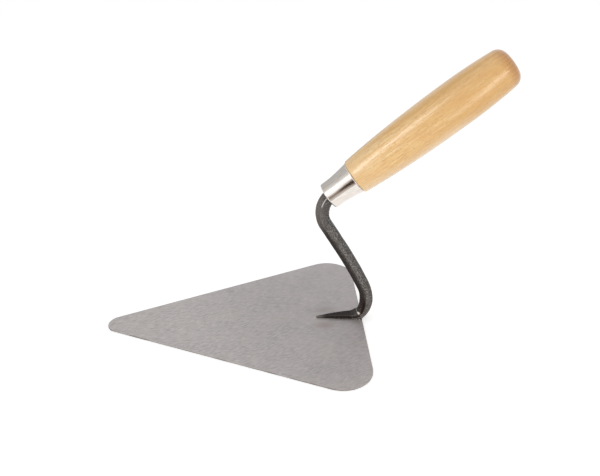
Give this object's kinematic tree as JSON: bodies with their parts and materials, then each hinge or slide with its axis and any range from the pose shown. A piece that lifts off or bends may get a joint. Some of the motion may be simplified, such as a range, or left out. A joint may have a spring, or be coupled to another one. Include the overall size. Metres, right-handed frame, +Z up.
{
  "type": "brick trowel",
  "caption": "Hand trowel for laying bricks: a flat triangular steel blade, a forged swan-neck shank welded on it, a tapered ferrule and a turned wooden grip.",
  "frame": {"origin": "on the underside of the blade, on its centre line, halfway between its straight rear edge and its tip", "axes": "+X along the blade towards its tip, +Z up out of the blade's upper face, +Y to the left for someone who holds the handle and looks along +X; the trowel is symmetrical about Y = 0"},
  "size_m": [0.2704, 0.159, 0.1873],
  "materials": {
    "ground_steel": "bare sheet steel, ground with fine parallel marks",
    "forged_steel": "dark forging scale, slightly shiny, with hammer marks",
    "weld_metal": "small rippled weld seam, left as welded",
    "plated_steel": "bright nickel plating",
    "beech": "clear lacquered beech, grain along the grip"
  },
  "bodies": {
    "root": {"blade": "ground_steel", "shank": "forged_steel", "weld": "weld_metal", "ferrule": "plated_steel", "handle": "beech"}
  },
  "joints": []
}
